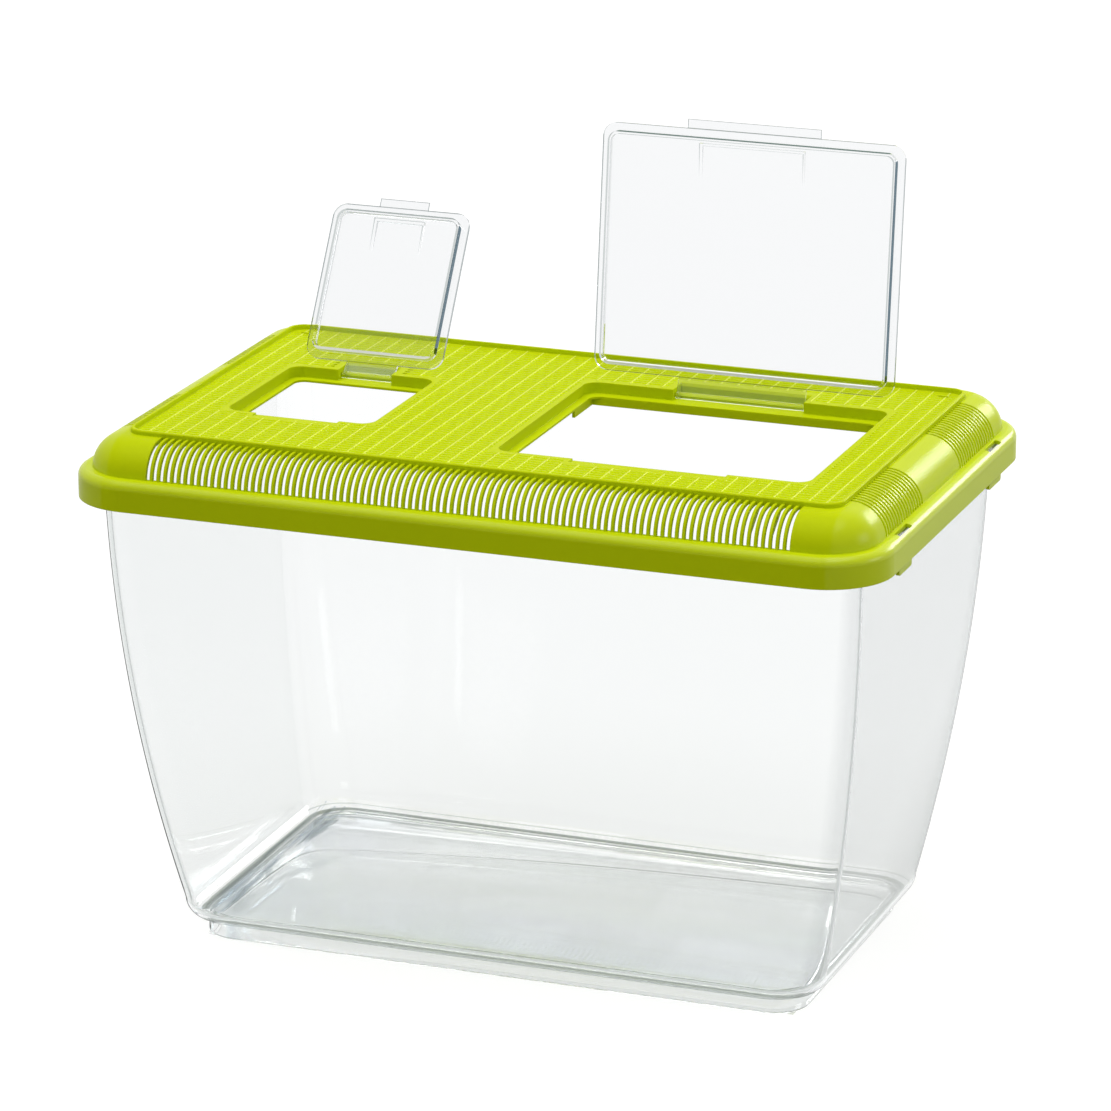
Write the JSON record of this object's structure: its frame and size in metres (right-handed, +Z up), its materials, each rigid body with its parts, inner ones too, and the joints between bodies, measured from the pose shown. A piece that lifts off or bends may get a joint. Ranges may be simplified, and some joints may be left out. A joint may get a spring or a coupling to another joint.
{
  "type": "plastic pet keeper",
  "caption": "Clear plastic tank for small animals with a vented clip-fit lid and two clear hinged hatches, shown open.",
  "frame": {"origin": "centre of the foot ring's underside, on the table", "axes": "+X along the length to the right, +Y to the back where the hatches hinge, +Z up"},
  "size_m": [0.46, 0.2948, 0.4421],
  "materials": {
    "clear_tank": "clear polished",
    "lime_lid": "satin",
    "clear_hatch": "clear polished"
  },
  "bodies": {
    "tank": {"tank": "clear_tank"},
    "lid": {"lid": "lime_lid"},
    "small_hatch": {"small_hatch": "clear_hatch"},
    "large_hatch": {"large_hatch": "clear_hatch"}
  },
  "joints": [
    {"name": "lid_lift", "type": "slide", "parent": "tank", "child": "lid", "axis": [0, 0, 1], "range_m": [0, 0.1]},
    {"name": "small_hatch_hinge", "type": "hinge", "parent": "lid", "child": "small_hatch", "pos_m": [-0.1277, 0.0462, 0.29], "axis": [1, 0, 0], "range_deg": [-7, 121.8]},
    {"name": "large_hatch_hinge", "type": "hinge", "parent": "lid", "child": "large_hatch", "pos_m": [0.084, 0.0715, 0.29], "axis": [1, 0, 0], "range_deg": [-36, 96.5]}
  ]
}
